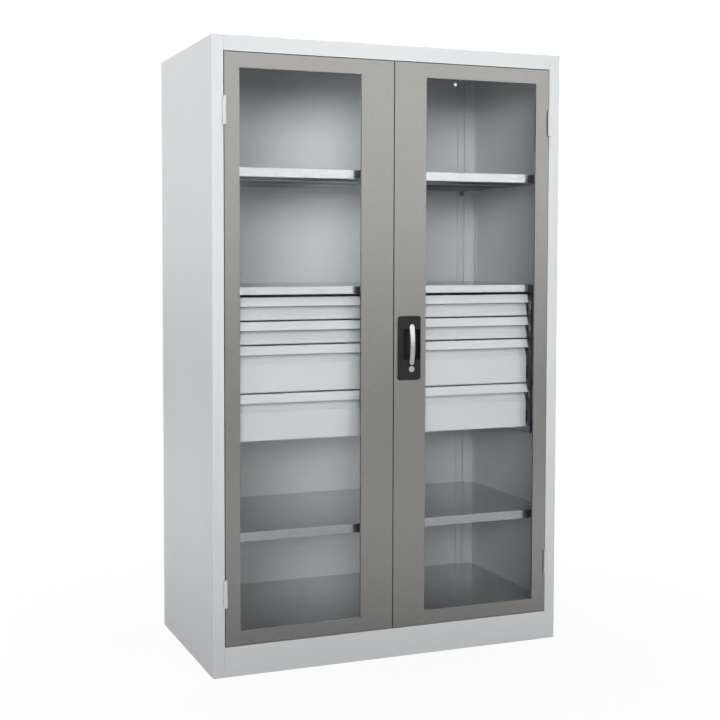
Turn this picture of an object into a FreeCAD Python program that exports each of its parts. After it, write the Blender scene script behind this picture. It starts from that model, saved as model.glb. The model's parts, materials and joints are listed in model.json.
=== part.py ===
import FreeCAD, Part
import os

os.makedirs("parts", exist_ok=True)

# Steel cabinet with two window doors, three shelves and four full-width drawers.
# Millimetres, +Z up, the doors face -Y, the origin lies under the middle of the outline.

# Body
body_width = 1200.0
body_depth = 600.0
body_height = 1950.0
sheet = 1.5
stile_width = 37.5
stile_return = 25.0
top_rail_height = 46.5
plinth_height = 93.0
stop_lip_height = 14.0
rear_inset = 10.0
body_round = 3.0
edge_round = 1.0
fixing_hole_radius = 6.0
fixing_hole_inset = 77.0
fixing_hole_drop = 22.0
overcut = 1.0
touch = 0.01

# Floor, shelves and uprights
floor_lip = 27.0
floor_setback = 27.0
shelf_heights = (435.0, 1194.0, 1560.0)
shelf_lips = (28.0, 24.0, 28.0)
shelf_hem = 14.0
shelf_setback = 33.0
shelf_side_gap = 2.5
shelf_corner = 26.0
shelf_rear_gap = 3.0
stiffener_width = 50.0
stiffener_height = 20.0
upright_front_depth = 68.0
upright_rear_stand = 5.0
upright_rear_width = 67.5
upright_rear_corner = 14.0
upright_rear_flange = 20.0
bead_inset = 40.5
bead_width = 3.0
bead_depth = 3.0
slot_width = 7.0
slot_height = 9.0
slot_pitch = 15.0
slot_foot = 30.0
slot_head = 50.0
slot_inset = 52.5
clip_width = 18.0
clip_plate = 18.0
clip_tab = 16.0

# Doors and hinges
door_gap = 2.5
meeting_gap = 3.0
leaf_depth = 18.0
leaf_hem = 12.0
meeting_stile = 111.0
hinge_stile = 47.5
leaf_bottom_rail = 44.0
leaf_top_rail = 46.0
pane_thickness = 4.0
pane_overlap = 8.0
retainer_width = 2.0
hinge_radius = 6.0
hinge_length = 84.0
hinge_seam = 0.5
hinge_proud = 5.0
hinge_plate = 3.0
hinge_plate_width = 28.0
hinge_room = 1.0
hinge_cap = 6.0
hinge_low_inset = 122.0
hinge_high_inset = 133.5
pin_radius = 3.0
running_play = 0.05
buffer_radius = 6.0
buffer_height = 2.3
buffer_play = 0.2
buffer_near = 150.0
buffer_far = 420.0

# Handle, lock and rods
handle_reach = 20.0
pocket_width = 66.5
pocket_height = 99.0
pocket_centre_z = 1006.5
pocket_depth = 12.0
pocket_wall = 1.5
pocket_clear = 0.5
plate_inset = 13.5
plate_near = 8.0
plate_far = 3.5
plate_end = 35.0
plate_thickness = 7.0
plate_round = 9.0
plate_edge_round = 2.5
plate_margin = 7.0
bow_offset = 6.0
bow_width = 17.0
bow_thickness = 8.0
bow_end = 4.0
bow_drop = 7.0
bow_play = 0.6
bow_round = 1.8
spindle_radius = 5.0
spindle_room = 1.0
cam_hub_wall = 0.3
cam_play = 0.2
cam_thickness = 4.4
cam_width = 8.0
cam_length = 16.0
cylinder_radius = 9.5
cylinder_drop = 29.0
cylinder_proud = 2.0
cylinder_end = 12.0
cylinder_play = 0.1
core_radius = 6.5
core_length = 18.0
key_slot_width = 1.6
key_slot_height = 8.0
key_slot_depth = 7.0
rod_width = 12.0
rod_thickness = 4.0
rod_stand = 0.6
rod_play = 0.4
rod_tip_play = 0.5
rod_slot_play = 4.0
rod_inner_gap = 6.0
case_width = 44.0
case_clear = 1.0
guide_height = 20.0
guide_low_inset = 204.5
guide_high_inset = 181.0
guide_drop = 306.5
guide_rise = 293.5

# Drawers and runners
drawer_top_gap = 9.0
drawer_heights = (70.0, 70.0, 145.0, 145.0)
drawer_gap = 5.0
drawer_side_gap = 7.7
drawer_setback = 33.0
grip_height = 27.0
grip_slant = 12.0
grip_overhang = 14.0
scoop_depth = 11.5
scoop_top = 29.0
scoop_end = 56.0
front_thickness = 15.0
front_return = 18.0
box_rear_gap = 38.0
box_lift = 4.0
box_drop = 12.0
carrier_stand = 43.8
carrier_drop = 22.0
carrier_foot = 36.0
runner_space = 13.0
runner_height = 45.0
runner_depth = 9.0
runner_play = 0.4
runner_lift = 32.0
runner_front_gap = 2.0
runner_rear_gap = 34.0
screw_head_radius = 5.0
screw_head_height = 3.0
screw_radius = 2.5
screw_length = 6.0
screw_hole_radius = 2.8
screw_inset = 28.0

# Body planes
front = (handle_reach - body_depth) / 2
rear = front + body_depth
rear_wall = rear - rear_inset
side = body_width / 2
side_wall = side - sheet
opening = side - stile_width
roof = body_height - sheet
top_rail = body_height - top_rail_height
rail_return = leaf_depth + buffer_play + buffer_height + sheet
floor_height = plinth_height + floor_lip

# Upright planes
upright_front_end = front + stile_return + upright_front_depth
upright_rear_face = rear_wall - upright_rear_stand
upright_rear_inner = side - upright_rear_width
upright_rear_bend = side - upright_rear_corner
slot_column = side - slot_inset
bead_near = side - bead_inset + bead_width / 2
bead_far = bead_near - bead_width
slot_first = floor_height + slot_foot
slot_count = int((roof - slot_head - slot_first) / slot_pitch) + 1

# Door planes
leaf_inner = meeting_gap / 2
leaf_outer = opening - door_gap
leaf_bottom = plinth_height + door_gap
leaf_top = top_rail - door_gap
window_inner = leaf_inner + meeting_stile
window_outer = leaf_outer - hinge_stile
window_bottom = leaf_bottom + leaf_bottom_rail
window_top = leaf_top - leaf_top_rail
hinge_x = (opening + leaf_outer) / 2
hinge_y = front - hinge_proud
hinge_waist = (hinge_radius ** 2 - hinge_proud ** 2) ** 0.5
hinge_seat = (front + sheet, front + sheet + hinge_plate)
hinge_bottoms = (leaf_bottom + hinge_low_inset, leaf_top - hinge_high_inset - hinge_length)

# Handle planes
plate_left = leaf_inner + plate_inset
pocket_left = plate_left + plate_near
pocket_right = pocket_left + pocket_width
plate_right = pocket_right + plate_far
plate_centre_x = (plate_left + plate_right) / 2
plate_face = front - plate_thickness
pocket_bottom = pocket_centre_z - pocket_height / 2
pocket_top = pocket_centre_z + pocket_height / 2
bow_x = plate_centre_x + bow_offset
bow_pivot_z = pocket_top + pocket_wall + spindle_room + spindle_radius
bow_low_z = pocket_bottom - bow_drop
cylinder_z = pocket_bottom - cylinder_drop
plate_bottom = cylinder_z - plate_end
plate_top = bow_pivot_z + plate_end
rod_front = front + pocket_depth + pocket_wall + rod_stand
rod_rear = rod_front + rod_thickness
cam_rear = rod_front - cam_play
cam_front = cam_rear - cam_thickness
guide_rear = rod_rear + rod_play
guide_bottoms = (
    leaf_bottom + guide_low_inset,
    pocket_centre_z - guide_drop,
    pocket_centre_z + guide_rise,
    leaf_top - guide_high_inset - guide_height,
)

# Drawer planes
carrier_inner = opening - carrier_stand
carrier_top = shelf_heights[1] - shelf_lips[1]
drawer_top = carrier_top - drawer_top_gap
drawer_stack = sum(drawer_heights) + drawer_gap * (len(drawer_heights) - 1)
carrier_bottom = drawer_top - drawer_stack - carrier_drop
drawer_half_width = carrier_inner - drawer_side_gap
drawer_lip = front + drawer_setback
drawer_face = drawer_lip + grip_overhang
drawer_back = drawer_face + front_thickness
box_end = upright_rear_face - box_rear_gap
runner_start = drawer_back + runner_front_gap
runner_end = upright_rear_face - runner_rear_gap


def block(x, y, z):
    """Block between low and high values on each axis."""
    corner = FreeCAD.Vector(x[0], y[0], z[0])
    return Part.makeBox(x[1] - x[0], y[1] - y[0], z[1] - z[0], corner)


def round_x(radius, x, y, z):
    """Cylinder along X between two x values."""
    return Part.makeCylinder(radius, x[1] - x[0], FreeCAD.Vector(x[0], y, z), FreeCAD.Vector(1, 0, 0))


def round_y(radius, x, y, z):
    """Cylinder along Y between two y values."""
    return Part.makeCylinder(radius, y[1] - y[0], FreeCAD.Vector(x, y[0], z), FreeCAD.Vector(0, 1, 0))


def round_z(radius, x, y, z):
    """Cylinder along Z between two z values."""
    return Part.makeCylinder(radius, z[1] - z[0], FreeCAD.Vector(x, y, z[0]), FreeCAD.Vector(0, 0, 1))


def prism_z(points, z):
    """Solid over an outline of (x, y) points between two heights."""
    corners = [FreeCAD.Vector(x, y, z[0]) for x, y in points]
    outline = Part.makePolygon(corners + corners[:1])
    return Part.Face(outline).extrude(FreeCAD.Vector(0, 0, z[1] - z[0]))


def prism_x(points, x):
    """Solid over a section of (y, z) points between two x values."""
    corners = [FreeCAD.Vector(x[0], y, z) for y, z in points]
    outline = Part.makePolygon(corners + corners[:1])
    return Part.Face(outline).extrude(FreeCAD.Vector(x[1] - x[0], 0, 0))


def folded(points, thickness):
    """Outline of a bent strip: the line of points and its offset to the right."""
    normals = []
    for start, end in zip(points, points[1:]):
        run = FreeCAD.Vector(end[0] - start[0], end[1] - start[1], 0)
        run.normalize()
        normals.append((run.y, -run.x))
    inner = []
    for index, point in enumerate(points):
        before = normals[max(index - 1, 0)]
        after = normals[min(index, len(normals) - 1)]
        reach = thickness / (1 + before[0] * after[0] + before[1] * after[1])
        inner.append((point[0] + (before[0] + after[0]) * reach, point[1] + (before[1] + after[1]) * reach))
    return points + inner[::-1]


def fuse(pieces):
    """One solid from touching pieces, without seams."""
    return pieces[0].multiFuse(pieces[1:]).removeSplitter()


def mirrored(shape):
    """The same piece on the other side of the cabinet."""
    return shape.mirror(FreeCAD.Vector(0, 0, 0), FreeCAD.Vector(1, 0, 0))


def soften(shape, radius, chosen):
    """Round the edges that a test on the edge's box picks out."""
    return shape.makeFillet(radius, [edge for edge in shape.Edges if chosen(edge.BoundBox)])


def save(name, shape):
    """Write one node."""
    shape.exportStep("parts/" + name + ".step")


def save_pair(name, right):
    """Write a right-hand node and its mirror image."""
    save(name + "_right", right)
    save(name + "_left", mirrored(right))


def hinge_notches():
    """Room for both barrels of the right-hand hinges and their necks in the sheets beside them."""
    reach = hinge_waist + hinge_room
    return [
        block(
            (hinge_x - reach, hinge_x + reach),
            (front - hinge_room, hinge_seat[1] + hinge_room),
            (bottom - hinge_room, bottom + hinge_length + hinge_room),
        )
        for bottom in hinge_bottoms
    ]


def slot_height_at(index):
    """Height of one slot's middle in the uprights."""
    return slot_first + slot_pitch * index


def on_front(box):
    """Whether an edge's box lies upright in the front plane."""
    return box.ZLength > roof / 2 and box.YMax < front + touch


def side_panel():
    """Side wall with its front stile and the stile's return."""
    heights = (0, roof)
    wall = block((side_wall, side), (front, rear), heights)
    stile = block((opening, side), (front, front + sheet), heights)
    back = block((opening, opening + sheet), (front, front + stile_return), heights)
    panel = fuse([wall, stile, back])
    panel = soften(panel, body_round, lambda b: on_front(b) and b.XMin > side - touch)
    panel = soften(panel, edge_round, lambda b: on_front(b) and b.XMax < opening + touch)
    return panel.cut(hinge_notches())


def rod_keeper(z):
    """Slot in the top rail or plinth that a lock rod enters."""
    half = rod_width / 2 + rod_slot_play
    depth = (rod_front - rod_play * 4, front + rail_return - sheet)
    return block((bow_x - half, bow_x + half), depth, z)


def top_panel():
    """Roof sheet with the folded top rail and the door stop behind it."""
    lid = block((-side, side), (front, rear), (roof, body_height))
    lid = soften(lid, edge_round, lambda b: b.ZMin > body_height - touch)
    width = (-opening, opening)
    rail = block(width, (front, front + sheet), (top_rail, roof))
    fold = block(width, (front, front + rail_return), (top_rail, top_rail + sheet))
    stop_face = front + rail_return - sheet
    stop = block(width, (stop_face, front + rail_return), (top_rail - stop_lip_height, top_rail + sheet))
    panel = fuse([lid, rail, fold, stop])
    return panel.cut(rod_keeper((top_rail - door_gap, top_rail + 2 * sheet)))


def plinth_front():
    """Plinth rail with its upper and lower returns."""
    width = (-opening, opening)
    face = block(width, (front, front + sheet), (0, plinth_height))
    depth = (front, front + floor_setback + sheet)
    upper = block(width, depth, (plinth_height - sheet, plinth_height))
    lower = block(width, depth, (0, sheet))
    plinth = fuse([face, upper, lower])
    return plinth.cut(rod_keeper((plinth_height - 2 * sheet, plinth_height + door_gap)))


def rear_panel():
    """Rear wall as a shallow tray, with the two wall-fixing holes."""
    tray = block((-side_wall, side_wall), (rear_wall, rear), (0, roof))
    hollow_x = (sheet - side_wall, side_wall - sheet)
    tray = tray.cut(block(hollow_x, (rear_wall + sheet, rear + overcut), (sheet, roof - sheet)))
    holes = []
    hole_x = side - fixing_hole_inset
    for x in (-hole_x, hole_x):
        height = body_height - fixing_hole_drop
        depth = (rear_wall - overcut, rear_wall + 2 * sheet)
        holes.append(round_y(fixing_hole_radius, x, depth, height))
    return tray.cut(holes)


def floor_panel():
    """Floor tray that rests on the plinth and the rear base rail."""
    start = front + floor_setback
    tray = block((-side_wall, side_wall), (start, rear_wall), (plinth_height, floor_height))
    hollow_x = (sheet - side_wall, side_wall - sheet)
    hollow_y = (start + sheet, rear_wall - sheet)
    return tray.cut(block(hollow_x, hollow_y, (plinth_height - overcut, floor_height - sheet)))


def base_rail_rear():
    """Angle under the rear edge of the floor."""
    width = (-side_wall, side_wall)
    face = rear_wall - 2 * rear_inset
    web = block(width, (face, face + sheet), (0, plinth_height))
    flange = block(width, (face, rear_wall), (plinth_height - sheet, plinth_height))
    return fuse([web, flange])


def upright_front():
    """Perforated channel behind the front stile."""
    start = front + stile_return
    points = [
        (side_wall, start),
        (opening, start),
        (opening, upright_front_end),
        (side_wall, upright_front_end),
    ]
    post = prism_z(folded(points, sheet), (floor_height, roof))
    middle = (start + upright_front_end) / 2
    across = (middle - slot_width / 2, middle + slot_width / 2)
    slots = []
    for index in range(slot_count):
        height = slot_height_at(index)
        span = (height - slot_height / 2, height + slot_height / 2)
        slots.append(block((opening - overcut, opening + 2 * sheet), across, span))
    return post.cut(slots)


def upright_rear():
    """Perforated corner strip between the rear and side walls, with a bead beside its slots."""
    bend_run = side_wall - sheet - upright_rear_bend
    points = [
        (side_wall - sheet, upright_rear_face - bend_run - upright_rear_flange),
        (side_wall - sheet, upright_rear_face - bend_run),
        (upright_rear_bend, upright_rear_face),
        (bead_near, upright_rear_face),
        (bead_near, upright_rear_face + bead_depth),
        (bead_far, upright_rear_face + bead_depth),
        (bead_far, upright_rear_face),
        (upright_rear_inner, upright_rear_face),
        (upright_rear_inner, rear_wall),
    ]
    post = prism_z(folded(points, sheet), (floor_height, roof))
    across = (slot_column - slot_width / 2, slot_column + slot_width / 2)
    slots = []
    for index in range(slot_count):
        height = slot_height_at(index)
        span = (height - slot_height / 2, height + slot_height / 2)
        depth = (upright_rear_face - overcut, upright_rear_face + 2 * sheet)
        slots.append(block(across, depth, span))
    return post.cut(slots)


def shelf_plan(inset):
    """Outline of a shelf, notched around the four uprights."""
    wide = side_wall - shelf_side_gap - inset
    narrow = opening - shelf_side_gap - inset
    front_end = opening - shelf_corner - inset
    start = front + shelf_setback + inset
    front_step = upright_front_end + shelf_side_gap + inset
    bend_run = side_wall - sheet - upright_rear_bend
    rear_step = upright_rear_face - bend_run - upright_rear_flange - shelf_side_gap - inset
    end = upright_rear_face - shelf_rear_gap - inset
    half = [(front_end, start), (front_end, front_step), (wide, front_step), (wide, rear_step)]
    half += [(narrow, rear_step), (narrow, end)]
    return half + [(-x, y) for x, y in reversed(half)]


def shelf(height, lip):
    """Shelf tray with a lip all round and a hem under the front lip."""
    bottom = height - lip
    tray = prism_z(shelf_plan(0), (bottom, height))
    start = front + shelf_setback
    tray = soften(tray, edge_round, lambda b: b.ZMin > height - touch and b.YMax < start + touch)
    tray = tray.cut(prism_z(shelf_plan(sheet), (bottom - overcut, height - sheet)))
    reach = opening - shelf_corner
    hem = block((-reach, reach), (start, start + shelf_hem), (bottom, bottom + sheet))
    return fuse([tray, hem])


def shelf_stiffeners():
    """Channel under the middle of each shelf."""
    middle = (front + shelf_setback + rear_wall) / 2
    left = middle - stiffener_width / 2
    right = middle + stiffener_width / 2
    reach = side_wall - shelf_side_gap - sheet
    rails = []
    for height in shelf_heights:
        top = height - sheet
        bottom = top - stiffener_height
        points = [(left, top), (left, bottom), (right, bottom), (right, top)]
        rails.append(prism_x(folded(points, -sheet), (-reach, reach)))
    return Part.makeCompound(rails)


def shelf_clips():
    """Support clips, four each under the lower and the top shelf."""
    clips = []
    for level in (0, 2):
        top = shelf_heights[level] - shelf_lips[level]
        plate_z = (top - clip_plate, top)
        tab_z = (top - sheet, top)
        start = front + stile_return + upright_front_depth / 2 - clip_width / 2
        across = (start, start + clip_width)
        plate = block((opening - sheet, opening), across, plate_z)
        tab = block((opening - shelf_corner - clip_tab / 2, opening), across, tab_z)
        fore = fuse([plate, tab])
        across = (slot_column - clip_width / 2, slot_column + clip_width / 2)
        plate = block(across, (upright_rear_face - sheet, upright_rear_face), plate_z)
        tab = block(across, (upright_rear_face - sheet - clip_tab, upright_rear_face), tab_z)
        aft = fuse([plate, tab])
        clips += [fore, aft, mirrored(fore), mirrored(aft)]
    return Part.makeCompound(clips)


def carrier_screw_places():
    """Depth and heights of the carrier screws, each in the upright slot nearest to its place."""
    foot_y = front + stile_return + upright_front_depth / 2
    middle = (carrier_bottom + carrier_top) / 2
    wanted = (carrier_bottom + screw_inset, middle, carrier_top - screw_inset)
    return [(foot_y, slot_height_at(round((height - slot_first) / slot_pitch))) for height in wanted]


def drawer_carrier():
    """Side plate that carries the runners and the middle shelf, with feet on both uprights."""
    heights = (carrier_bottom, carrier_top)
    start = drawer_lip
    web = block((carrier_inner, carrier_inner + sheet), (start, upright_rear_face), heights)
    fore = block((carrier_inner, opening), (start, start + sheet), heights)
    foot_end = start + carrier_foot
    foot = block((opening - sheet, opening), (start, foot_end), heights)
    rear_reach = slot_column + clip_width / 2
    aft = block((carrier_inner, rear_reach), (upright_rear_face - sheet, upright_rear_face), heights)
    carrier = fuse([web, fore, foot, aft])
    holes = []
    for foot_y, height in carrier_screw_places():
        holes.append(round_x(screw_hole_radius, (opening - 2 * sheet, opening + overcut), foot_y, height))
        across = (upright_rear_face - 2 * sheet, upright_rear_face + overcut)
        holes.append(round_y(screw_hole_radius, slot_column, across, height))
    return carrier.cut(holes)


def carrier_screws():
    """Screws that hold both carriers to the uprights."""
    screws = []
    for foot_y, height in carrier_screw_places():
        seat = opening - sheet
        head = round_x(screw_head_radius, (seat - screw_head_height, seat), foot_y, height)
        shank = round_x(screw_radius, (seat, seat + screw_length), foot_y, height)
        fore = fuse([head, shank])
        seat = upright_rear_face - sheet
        head = round_y(screw_head_radius, slot_column, (seat - screw_head_height, seat), height)
        shank = round_y(screw_radius, slot_column, (seat, upright_rear_face + upright_rear_stand), height)
        aft = fuse([head, shank])
        screws += [fore, aft, mirrored(fore), mirrored(aft)]
    return Part.makeCompound(screws)


def drawer_bottoms():
    """Lower edge of each drawer front, from the top drawer down."""
    bottoms = []
    top = drawer_top
    for height in drawer_heights:
        bottoms.append(top - height)
        top = top - height - drawer_gap
    return bottoms


def channel(web_x, mouth_x, half_height, middle):
    """Runner rail: a channel with its web at one x and its mouth at another."""
    inward = sheet if mouth_x > web_x else -sheet
    points = [
        (mouth_x, middle - half_height),
        (web_x, middle - half_height),
        (web_x, middle + half_height),
        (mouth_x, middle + half_height),
    ]
    outline = [FreeCAD.Vector(x, runner_start, z) for x, z in folded(points, inward)]
    face = Part.Face(Part.makePolygon(outline + outline[:1]))
    return face.extrude(FreeCAD.Vector(0, runner_end - runner_start, 0))


def outer_rail(bottom):
    """Runner rail that is fixed to the carrier."""
    mouth = carrier_inner - runner_depth
    return channel(carrier_inner, mouth, runner_height / 2, bottom + runner_lift)


def middle_rail(bottom):
    """Runner rail that slides between the other two."""
    web = carrier_inner - sheet - runner_play
    mouth = web - runner_depth + runner_play
    return channel(web, mouth, runner_height / 2 - sheet - runner_play, bottom + runner_lift)


def inner_rail(bottom):
    """Runner rail that is fixed to the drawer box."""
    web = carrier_inner - runner_space
    mouth = carrier_inner - 2 * (sheet + runner_play)
    return channel(web, mouth, runner_height / 2 - 2 * (sheet + runner_play), bottom + runner_lift)


def drawer_front(bottom, height):
    """Folded drawer front with a scoop under its slanted grip rail, closed at both ends."""
    top = bottom + height
    section = [
        (drawer_back, bottom + front_return),
        (drawer_back, bottom),
        (drawer_face, bottom),
        (drawer_face, top - scoop_end),
        (drawer_face + scoop_depth, top - scoop_top),
        (drawer_lip, top - grip_height),
        (drawer_lip + grip_slant, top),
        (drawer_back, top),
        (drawer_back, top - front_return),
    ]
    skin = prism_x(folded(section, sheet), (-drawer_half_width, drawer_half_width))
    left_end = prism_x(section, (-drawer_half_width, sheet - drawer_half_width))
    right_end = prism_x(section, (drawer_half_width - sheet, drawer_half_width))
    return fuse([skin, left_end, right_end])


def drawer_box(bottom, height):
    """Open drawer box behind the front."""
    half = carrier_inner - runner_space
    heights = (bottom + box_lift, bottom + height - box_drop)
    tray = block((-half, half), (drawer_back, box_end), heights)
    inside_y = (drawer_back + sheet, box_end - sheet)
    inside_z = (heights[0] + sheet, heights[1] + overcut)
    return tray.cut(block((sheet - half, half - sheet), inside_y, inside_z))


def leaf(extra_cuts):
    """Door leaf: a shallow tray with hemmed edges and a window."""
    tray = block((leaf_inner, leaf_outer), (front, front + leaf_depth), (leaf_bottom, leaf_top))
    tray = soften(tray, edge_round, lambda b: b.YMax < front + touch)
    inner_x = (leaf_inner + sheet, leaf_outer - sheet)
    inner_z = (leaf_bottom + sheet, leaf_top - sheet)
    cuts = [block(inner_x, (front + sheet, front + leaf_depth - sheet), inner_z)]
    mouth_x = (leaf_inner + leaf_hem, leaf_outer - leaf_hem)
    mouth_z = (leaf_bottom + leaf_hem, leaf_top - leaf_hem)
    cuts.append(block(mouth_x, (front + leaf_depth - 2 * sheet, front + leaf_depth + overcut), mouth_z))
    window_y = (front - overcut, front + 2 * sheet)
    cuts.append(block((window_inner, window_outer), window_y, (window_bottom, window_top)))
    return tray.cut(cuts + hinge_notches() + extra_cuts)


def lock_cuts():
    """Openings in the right-hand leaf for the handle and the rods."""
    reach = pocket_wall + pocket_clear
    across = (pocket_left - reach, pocket_right + reach)
    along = (plate_bottom + plate_margin, plate_top - plate_margin)
    plate = block(across, (front - overcut, front + 2 * sheet), along)
    half = rod_width / 2 + 2 * rod_play
    rod_x = (bow_x - half, bow_x + half)
    rod_y = (rod_front - 2 * rod_play, front + leaf_depth + overcut)
    upper = block(rod_x, rod_y, (leaf_top - leaf_hem - overcut, leaf_top + overcut))
    lower = block(rod_x, rod_y, (leaf_bottom - overcut, leaf_bottom + leaf_hem + overcut))
    return [plate, upper, lower]


def pane():
    """Clear pane behind the window."""
    return block(
        (window_inner - pane_overlap, window_outer + pane_overlap),
        (front + sheet, front + sheet + pane_thickness),
        (window_bottom - pane_overlap, window_top + pane_overlap),
    )


def pane_frame():
    """Retaining frame that holds the pane against the leaf."""
    reach = pane_overlap + retainer_width
    ring = block(
        (window_inner - reach, window_outer + reach),
        (front + sheet, front + 2 * sheet + pane_thickness),
        (window_bottom - reach, window_top + reach),
    )
    depth = (front, front + leaf_depth)
    sight = block((window_inner, window_outer), depth, (window_bottom, window_top))
    return ring.cut([pane(), sight])


def hinge_frame_half(bottom):
    """Lower hinge half with the pin, fixed behind the stile."""
    heights = (bottom, bottom + (hinge_length - hinge_seam) / 2)
    barrel = round_z(hinge_radius, hinge_x, hinge_y, heights)
    pin_top = bottom + hinge_length - hinge_cap - hinge_room
    pin = round_z(pin_radius, hinge_x, hinge_y, (bottom, pin_top))
    neck = block((hinge_x, hinge_x + hinge_waist), (hinge_y, hinge_seat[1]), heights)
    plate = block((hinge_x, hinge_x + hinge_plate_width), hinge_seat, heights)
    return fuse([barrel, pin, neck, plate])


def hinge_door_half(bottom):
    """Upper hinge half that turns on the pin, fixed behind the leaf."""
    heights = (bottom + (hinge_length + hinge_seam) / 2, bottom + hinge_length)
    barrel = round_z(hinge_radius, hinge_x, hinge_y, heights)
    neck = block((hinge_x - hinge_waist, hinge_x), (hinge_y, hinge_seat[1]), heights)
    plate = block((hinge_x - hinge_plate_width, hinge_x), hinge_seat, heights)
    bore_z = (heights[0] - overcut, heights[1] - hinge_cap)
    bore = round_z(pin_radius + running_play, hinge_x, hinge_y, bore_z)
    return fuse([barrel, neck, plate]).cut(bore)


def door_buffers():
    """Round buffers on the stop lip, just behind the leaves."""
    depth = (front + leaf_depth + buffer_play, front + rail_return - sheet)
    height = top_rail - stop_lip_height / 2
    pads = [round_y(buffer_radius, x, depth, height) for x in (buffer_near, buffer_far)]
    return Part.makeCompound(pads + [mirrored(pad) for pad in pads])


def handle_plate():
    """Plate with the finger pocket, the spindle bore and the lock hole."""
    plate = block((plate_left, plate_right), (plate_face, front), (plate_bottom, plate_top))
    plate = soften(plate, plate_round, lambda b: b.YLength > plate_thickness / 2)
    plate = soften(plate, plate_edge_round, lambda b: b.YMax < plate_face + touch)
    pocket_x = (pocket_left, pocket_right)
    shell_x = (pocket_x[0] - pocket_wall, pocket_x[1] + pocket_wall)
    shell_z = (pocket_bottom - pocket_wall, pocket_top + pocket_wall)
    shell = block(shell_x, (front, front + pocket_depth + pocket_wall), shell_z)
    body = fuse([plate, shell])
    pocket = block(pocket_x, (plate_face - overcut, front + pocket_depth), (pocket_bottom, pocket_top))
    pocket = soften(pocket, plate_edge_round, lambda b: b.YLength > pocket_depth)
    through = (plate_face - overcut, front + overcut)
    spindle = round_y(spindle_radius + running_play, bow_x, through, bow_pivot_z)
    lock = round_y(cylinder_radius + cylinder_play, bow_x, through, cylinder_z)
    return body.cut([pocket, spindle, lock])


def handle_bow():
    """Curved bow with a flat pad at each end and its spindle."""
    inner = plate_face - bow_play
    outer = inner - bow_end
    crest = front - handle_reach
    top = bow_pivot_z
    low = bow_low_z
    mid = (top + low) / 2
    left = bow_x - bow_width / 2
    outer_arc = Part.Arc(
        FreeCAD.Vector(left, outer, low),
        FreeCAD.Vector(left, crest, mid),
        FreeCAD.Vector(left, outer, top),
    )
    inner_arc = Part.Arc(
        FreeCAD.Vector(left, inner, low),
        FreeCAD.Vector(left, crest + bow_thickness, mid),
        FreeCAD.Vector(left, inner, top),
    )
    lower_edge = Part.makeLine(FreeCAD.Vector(left, inner, low), FreeCAD.Vector(left, outer, low))
    upper_edge = Part.makeLine(FreeCAD.Vector(left, outer, top), FreeCAD.Vector(left, inner, top))
    edges = [outer_arc.toShape(), inner_arc.toShape(), lower_edge, upper_edge]
    loop = Part.Wire(Part.sortEdges(edges)[0])
    bar = Part.Face(loop).extrude(FreeCAD.Vector(bow_width, 0, 0))
    bar = soften(bar, bow_round, lambda b: b.ZLength > mid - low and b.XLength < touch)
    pads = []
    for height in (top, low):
        pad = round_y(bow_width / 2, bow_x, (outer, inner), height)
        pads.append(soften(pad, bow_round, lambda b: b.YMax < outer + touch))
    spindle = round_y(spindle_radius, bow_x, (inner - sheet, cam_front), top)
    return fuse([bar] + pads + [spindle])


def handle_cam():
    """Drive arm on the end of the spindle."""
    depth = (cam_front, cam_rear)
    hub = round_y(spindle_radius + cam_hub_wall, bow_x, depth, bow_pivot_z)
    across = (bow_x - cam_width / 2, bow_x + cam_width / 2)
    arm = block(across, depth, (bow_pivot_z, bow_pivot_z + cam_length))
    return fuse([hub, arm])


def lock_case():
    """Cover behind the handle plate that houses the cam and the rod ends."""
    half = case_width / 2
    bottom = pocket_top + pocket_wall + case_clear
    top = plate_top - plate_margin
    across = (bow_x - half, bow_x + half)
    shell = block(across, (front, guide_rear + sheet), (bottom, top))
    hollow_x = (across[0] + sheet, across[1] - sheet)
    hollow = block(hollow_x, (front - overcut, guide_rear), (bottom - overcut, top + overcut))
    return shell.cut(hollow)


def lock_cylinder():
    """Cylinder body with a bore for the key core."""
    depth = (plate_face - cylinder_proud, front + cylinder_end)
    body = round_y(cylinder_radius, bow_x, depth, cylinder_z)
    bore_y = (depth[0] - overcut, plate_face - cylinder_proud + core_length)
    bore = round_y(core_radius + running_play, bow_x, bore_y, cylinder_z)
    body = soften(body, edge_round, lambda b: b.YMax < depth[0] + touch)
    return body.cut(bore)


def key_core():
    """Turning core with its key slot."""
    start = plate_face - cylinder_proud
    core = round_y(core_radius, bow_x, (start, start + core_length - running_play), cylinder_z)
    across = (bow_x - key_slot_width / 2, bow_x + key_slot_width / 2)
    along = (cylinder_z - key_slot_height / 2, cylinder_z + key_slot_height / 2)
    return core.cut(block(across, (start - overcut, start + key_slot_depth), along))


def lock_rod(heights):
    """Flat lock rod."""
    half = rod_width / 2
    return block((bow_x - half, bow_x + half), (rod_front, rod_rear), heights)


def rod_guides():
    """Brackets on the right-hand leaf that guide the rods."""
    half = rod_width / 2 + rod_play
    guides = []
    outer = half + sheet
    depth = (front + sheet, guide_rear + sheet)
    for height in guide_bottoms:
        shell = block((bow_x - outer, bow_x + outer), depth, (height, height + guide_height))
        hollow_z = (height - overcut, height + guide_height + overcut)
        guides.append(shell.cut(block((bow_x - half, bow_x + half), (front, guide_rear), hollow_z)))
    return Part.makeCompound(guides)


# Body
save_pair("side_panel", side_panel())
save("top_panel", top_panel())
save("plinth_front", plinth_front())
save("rear_panel", rear_panel())
save("floor_panel", floor_panel())
save("base_rail_rear", base_rail_rear())
save_pair("upright_front", upright_front())
save_pair("upright_rear", upright_rear())
shelf_names = ("shelf_lower", "shelf_middle", "shelf_top")
for name, height, lip in zip(shelf_names, shelf_heights, shelf_lips):
    save(name, shelf(height, lip))
save("shelf_stiffeners", shelf_stiffeners())
save("shelf_clips", shelf_clips())
save_pair("drawer_carrier", drawer_carrier())
save("carrier_screws", carrier_screws())

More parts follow.
